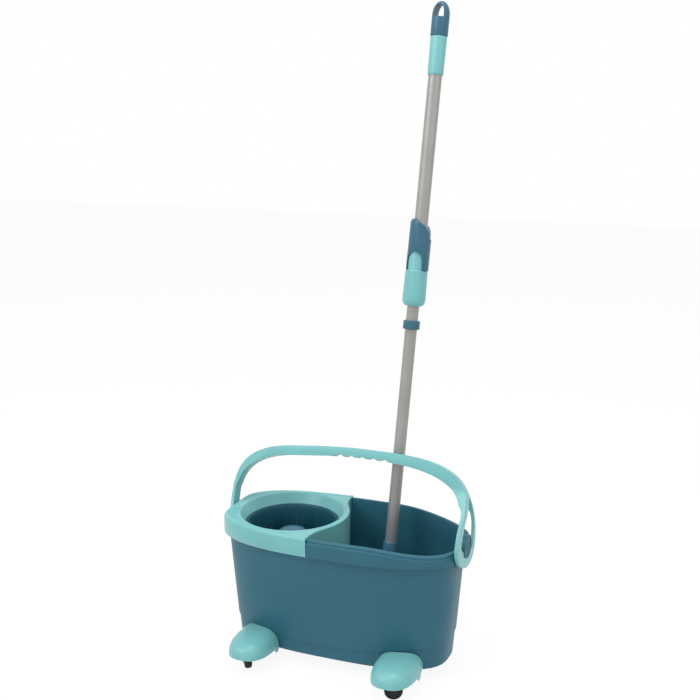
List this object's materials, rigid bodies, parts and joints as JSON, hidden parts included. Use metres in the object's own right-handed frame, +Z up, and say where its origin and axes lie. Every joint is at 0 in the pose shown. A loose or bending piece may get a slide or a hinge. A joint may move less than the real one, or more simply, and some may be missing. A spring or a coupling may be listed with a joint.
{
  "type": "spin mop",
  "caption": "Spin mop set: oval bucket on castors with a spinning wringer basket and bail handle, and a pump-action two-part pole with a swivelling round head standing in the water side.",
  "frame": {"origin": "on the floor plane under the centre of the bucket's plan", "axes": "+Z up, +X along the bucket's length towards the water compartment, +Y towards the back, where the pole leans"},
  "size_m": [0.4714, 0.3931, 1.1896],
  "materials": {
    "teal_plastic": "satin moulded polypropylene, fine texture",
    "deep_teal_plastic": "satin moulded polypropylene",
    "mint_plastic": "smooth moulded polypropylene, soft gloss",
    "hub_plastic": "smooth moulded plastic",
    "white_nylon": "machined nylon",
    "pole_paint": "satin grey coated steel tube",
    "bright_steel": "drawn and turned steel",
    "black_plastic": "black moulded plastic",
    "wheel_rubber": "black tread",
    "pad_fabric": "microfibre loops"
  },
  "bodies": {
    "bucket": {"bucket": "teal_plastic", "splash_insert": "mint_plastic", "bearing_post": "teal_plastic", "basket_pin": "bright_steel", "hinge_cap_right": "teal_plastic", "hinge_cap_left": "teal_plastic", "cover_screws": "bright_steel", "castor_cover_1": "mint_plastic", "castor_cover_2": "mint_plastic", "castor_cover_3": "mint_plastic", "castor_cover_4": "mint_plastic"},
    "spin_basket": {"basket": "deep_teal_plastic", "basket_hub": "hub_plastic", "basket_bush": "white_nylon"},
    "bail_handle": {"handle": "mint_plastic"},
    "castor_1": {"castor_fork_1": "black_plastic", "castor_stem_1": "bright_steel", "castor_axle_1": "bright_steel"},
    "wheel_1": {"castor_wheel_1": "wheel_rubber"},
    "castor_2": {"castor_fork_2": "black_plastic", "castor_stem_2": "bright_steel", "castor_axle_2": "bright_steel"},
    "wheel_2": {"castor_wheel_2": "wheel_rubber"},
    "castor_3": {"castor_fork_3": "black_plastic", "castor_stem_3": "bright_steel", "castor_axle_3": "bright_steel"},
    "wheel_3": {"castor_wheel_3": "wheel_rubber"},
    "castor_4": {"castor_fork_4": "black_plastic", "castor_stem_4": "bright_steel", "castor_axle_4": "bright_steel"},
    "wheel_4": {"castor_wheel_4": "wheel_rubber"},
    "mop_ball": {"foot_ball": "black_plastic"},
    "mop_head": {"mop_pad": "pad_fabric", "pad_plate": "teal_plastic", "pad_rivets": "bright_steel"},
    "lean_joint": {"joint_liner": "black_plastic"},
    "pole_carrier": {"stop_ring": "teal_plastic"},
    "lower_pole": {"tube_connector": "teal_plastic", "connector_screw": "bright_steel", "lower_tube": "pole_paint", "twisted_rod": "bright_steel", "rod_plug": "black_plastic"},
    "upper_pole": {"upper_tube": "pole_paint", "drive_nut": "black_plastic", "end_cap": "teal_plastic", "cap_sleeve": "mint_plastic", "grip_shell": "teal_plastic", "lock_spring": "bright_steel"},
    "lock": {"lock_slider": "mint_plastic"}
  },
  "joints": [
    {"name": "basket_spin", "type": "hinge", "parent": "bucket", "child": "spin_basket", "pos_m": [-0.107, 0, 0.15], "axis": [0, 0, 1], "continuous": true},
    {"name": "handle_fold", "type": "hinge", "parent": "bucket", "child": "bail_handle", "pos_m": [0, 0, 0.244], "axis": [1, 0, 0], "range_deg": [0, 106]},
    {"name": "castor_swivel_1", "type": "hinge", "parent": "bucket", "child": "castor_1", "pos_m": [0.1335, -0.141, 0.035], "axis": [0, 0, 1], "continuous": true},
    {"name": "wheel_spin_1", "type": "hinge", "parent": "castor_1", "child": "wheel_1", "pos_m": [0.14466, -0.1366, 0.0165], "axis": [0.3665, -0.9304, 0], "continuous": true},
    {"name": "castor_swivel_2", "type": "hinge", "parent": "bucket", "child": "castor_2", "pos_m": [0.1335, 0.141, 0.035], "axis": [0, 0, 1], "continuous": true},
    {"name": "wheel_spin_2", "type": "hinge", "parent": "castor_2", "child": "wheel_2", "pos_m": [0.14269, 0.14871, 0.0165], "axis": [0.6428, -0.766, 0], "continuous": true},
    {"name": "castor_swivel_3", "type": "hinge", "parent": "bucket", "child": "castor_3", "pos_m": [-0.1335, -0.141, 0.035], "axis": [0, 0, 1], "continuous": true},
    {"name": "wheel_spin_3", "type": "hinge", "parent": "castor_3", "child": "wheel_3", "pos_m": [-0.14064, -0.13135, 0.0165], "axis": [0.8039, 0.5948, 0], "continuous": true},
    {"name": "castor_swivel_4", "type": "hinge", "parent": "bucket", "child": "castor_4", "pos_m": [-0.1335, 0.141, 0.035], "axis": [0, 0, 1], "continuous": true},
    {"name": "wheel_spin_4", "type": "hinge", "parent": "castor_4", "child": "wheel_4", "pos_m": [-0.14333, 0.13412, 0.0165], "axis": [-0.5736, 0.8192, 0], "continuous": true},
    {"name": "mop_lift", "type": "slide", "parent": "bucket", "child": "mop_ball", "axis": [0.0283, 0.1754, 0.9841], "range_m": [0, 0.07]},
    {"name": "head_spin", "type": "hinge", "parent": "mop_ball", "child": "mop_head", "pos_m": [0.071, 0.014, 0.0617], "axis": [0, 0, 1], "range_deg": [-55, 460]},
    {"name": "side_lean", "type": "hinge", "parent": "mop_ball", "child": "lean_joint", "pos_m": [0.071, 0.014, 0.0617], "axis": [0, 1, 0], "range_deg": [-12, 12]},
    {"name": "pole_lean", "type": "hinge", "parent": "lean_joint", "child": "pole_carrier", "pos_m": [0.071, 0.014, 0.0617], "axis": [-1, 0, 0], "range_deg": [0, 11.5]},
    {"name": "lower_pole_spin", "type": "hinge", "parent": "pole_carrier", "child": "lower_pole", "pos_m": [0.071, 0.014, 0.0617], "axis": [0.0283, 0.1754, 0.9841], "range_deg": [-55, 460]},
    {"name": "pump", "type": "slide", "parent": "pole_carrier", "child": "upper_pole", "axis": [0.0283, 0.1754, 0.9841], "range_m": [-0.014, 0.15]},
    {"name": "lock_slide", "type": "slide", "parent": "upper_pole", "child": "lock", "axis": [-0.0283, -0.1754, -0.9841], "range_m": [0, 0.01], "stiffness_N_per_m": 800, "springref_m": -0.004, "deforming": ["lock_spring"]}
  ],
  "couplings": [
    {"joint": "head_spin", "follows": "pump", "rad_per_m": 52.36},
    {"joint": "lower_pole_spin", "follows": "pump", "rad_per_m": 52.36}
  ]
}
